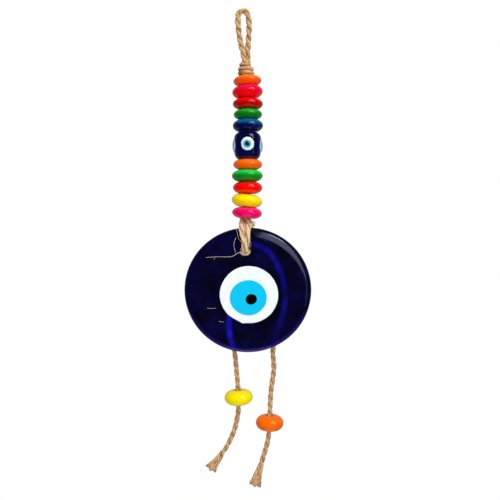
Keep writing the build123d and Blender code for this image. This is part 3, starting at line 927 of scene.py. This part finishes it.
glass_disc()
eye_layer("eye_white", "disc_white", WHITE_GLASS, 0.15, 3, corner=-103)
eye_layer("eye_iris", "disc_iris", SKY_GLASS, 0.27, 4)
eye_layer("eye_pupil", "disc_pupil", BLACK_GLASS, 0.36, 5)


# ================================================================ beads
# Each eye of the eye bead: the way it faces in degrees (0 is -Y, 90 is +X), its iris's radius, how
# pale the iris is, and how far above the barrel's middle the eye sits.
BEAD_EYES = (
    (0, 2.3, 0.0, 0.15), (90, 3.3, 0.25, 0.0), (180, 2.3, 0.0, 0.3), (270, 3.3, 0.25, 0.1),
)
BARREL_R = 7.62         # the barrel's radius where the eyes lie
EYE_R = 3.5
EYE_RISE = 0.58
EYE_DOME = 3.4          # how squarely the white falls off at its edge
PUPIL_R = 1.25
EYE_SIDES = 64


def bead_eyes():
    """The eye bead's whites, irises and pupils: round, domed, each raised a little on the last."""
    low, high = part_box("eye_bead_body")
    middle = (low + high) / 2 / MM
    whites, irises, pupils = Shape(), Shape(), Shape()
    angle = np.arange(EYE_SIDES) * TURN / EYE_SIDES
    shares = np.array([1.04, 1.0, 0.97, 0.92, 0.85, 0.75, 0.6, 0.4, 0.2, 0.01])
    for azimuth, iris_r, pale, lift in BEAD_EYES:
        turn = math.radians(azimuth)
        # A layer's reach, rise and power, whether it lies on the white, and how far off the middle.
        layers = (
            (whites, EYE_R, EYE_RISE, EYE_DOME, False, (0.0, 0.0)),
            (irises, iris_r, 0.10, 2.0, True, (-0.08, -0.06)),
            (pupils, PUPIL_R, 0.12 if pale else 0.38, 2.0, True, (0.02, 0.0)),
        )
        for shape, reach, rise, power, on_white, (off_x, off_z) in layers:
            rings = []
            for share in shares:
                u = off_x + reach * share * np.cos(angle)
                w = off_z + reach * share * np.sin(angle)
                skin = np.sqrt(BARREL_R ** 2 - u ** 2)
                if on_white:
                    around = np.clip(np.hypot(u, w) / EYE_R, 0, 1)
                    skin = skin + EYE_RISE * (1 - around ** EYE_DOME)
                out = skin + rise * (1 - share ** power)
                x = u * math.cos(turn) + out * math.sin(turn)
                y = u * math.sin(turn) - out * math.cos(turn)
                rings.append(np.stack([middle.x + x, middle.y + y, middle.z + lift + w], 1))
            points = np.concatenate(rings) * MM
            bleed = np.clip((shares.repeat(EYE_SIDES) - 0.72) / 0.28, pale, 1)
            faces = [tuple(reversed(face)) for face in tube_faces(len(shares), EYE_SIDES)]
            shape.add(points, faces, groove=bleed)
    looks = (
        ("whites", whites, PALE_GLASS, "white_glass"),
        ("irises", irises, BEAD_IRIS, "bead_iris_glass"),
        ("pupils", pupils, BLACK_GLASS, "black_glass"),
    )
    for name, shape, material, slot in looks:
        piece = shape.piece("bead_eye_" + name, material)
        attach(piece, "eye_bead")
        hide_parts("eye_bead_" + name)


bead_eyes()
for bead, lit_and_shaded_tones in LIT_AND_SHADED_LACQUERS.items():
    paint(bead, lacquer(bead, *lit_and_shaded_tones))
paint("eye_bead_body", COBALT_BEAD)


# ================================================================ light and floor
WORLD_FILL = 0.42           # the white room, as it lights dull surfaces
ROOM_REFLECTED = 0.015      # as the glass mirrors it in front, where it is dark beyond the lamps
BACKDROP_REFLECTED = 0.30   # and behind, where the backdrop is white
FLOOR_DROP = 1.0            # from the ornament's lowest point to the floor


def softbox(name, place, aim, width, height, power, roll=0.0, mirrored=False):
    """A soft lamp that faces aim. Only a mirrored one shows as a highlight on the glass."""
    data = bpy.data.lights.new(name, "AREA")
    data.shape = "RECTANGLE"
    data.size, data.size_y = width, height
    data.energy = power
    lamp = bpy.data.objects.new(name, data)
    lamp.location = place
    lamp.rotation_euler = (Vector(aim) - Vector(place)).to_track_quat("-Z", "Y").to_euler()
    lamp.rotation_euler.rotate_axis("Z", math.radians(roll))
    lamp.visible_camera = False
    lamp.visible_glossy = mirrored
    bpy.context.scene.collection.objects.link(lamp)


def stage():
    """Plain soft studio light, a white world, and a pale floor well below.

    Places and sizes are in metres, and lamps in watts.
    """
    scene = bpy.context.scene
    scene.view_settings.view_transform = "Standard"
    world = bpy.data.worlds.new("studio")
    scene.world = world
    world.use_nodes = True
    tree = world.node_tree
    background = tree.nodes["Background"]
    background.inputs["Color"].default_value = (1, 1, 1, 1)
    path = tree.nodes.new("ShaderNodeLightPath")
    way = tree.nodes.new("ShaderNodeSeparateXYZ")
    tree.links.new(tree.nodes.new("ShaderNodeTexCoord").outputs["Generated"], way.inputs[0])

    def between(share, start, end, low=0.0, high=1.0):
        """start where share is low, end where it is high. An end may be a socket."""
        made = tree.nodes.new("ShaderNodeMapRange")
        for name, value in (("Value", share), ("From Min", low), ("From Max", high),
                            ("To Min", start), ("To Max", end)):
            if isinstance(value, float):
                made.inputs[name].default_value = value
            else:
                tree.links.new(value, made.inputs[name])
        return made.outputs["Result"]

    mirrored = between(way.outputs["Y"], ROOM_REFLECTED, BACKDROP_REFLECTED, 0.15, 0.75)
    lit = between(path.outputs["Is Glossy Ray"], WORLD_FILL, mirrored)
    strength = between(path.outputs["Is Camera Ray"], lit, 1.0)
    tree.links.new(strength, background.inputs["Strength"])
    world.cycles.sampling_method = "NONE"
    ahead = Vector((0, 1, 0))
    window = Vector((0.386, -0.42, 0.359))
    softbox("window", window, window + ahead, 0.50, 0.80, 3.0, roll=-15, mirrored=True)
    bright = Vector((0.44, -0.41, 0.60))
    softbox("window_glare", bright, bright + Vector((0, 1, -0.4)), 0.28, 0.10, 1.5, mirrored=True)
    softbox("top_softbox", (0.05, -0.20, 0.45), (0.002, 0, -0.08), 0.40, 0.30, 1.2)
    softbox("front_fill", (-0.06, -0.62, -0.36), (0.0036, 0, -0.18), 0.50, 0.50, 1.6)
    strip = Vector((0.52, -0.42, -0.16))
    softbox("right_strip", strip, strip + ahead, 0.06, 0.36, 0.11, mirrored=True)
    softbox("back_fill", (-0.3, 0.8, 0.3), (0.0036, 0, -0.1313), 0.6, 0.6, 2.0)
    softbox("floor_light", (0, 0.1, -0.75), (0, 0.1, -1.2), 0.9, 0.9, 1.6)
    mesh = bpy.data.meshes.new("floor")
    z = cad_box[0].z - FLOOR_DROP
    corners = [(-0.4, -0.3, z), (0.4, -0.3, z), (0.4, 0.5, z), (-0.4, 0.5, z)]
    mesh.from_pydata(corners, [], [(0, 1, 2, 3)])
    floor = bpy.data.objects.new("floor", mesh)
    pale = Shader("pale_floor", Base_Color=(0.90, 0.90, 0.89, 1), Roughness=0.9)
    mesh.materials.append(pale.material)
    scene.collection.objects.link(floor)


stage()
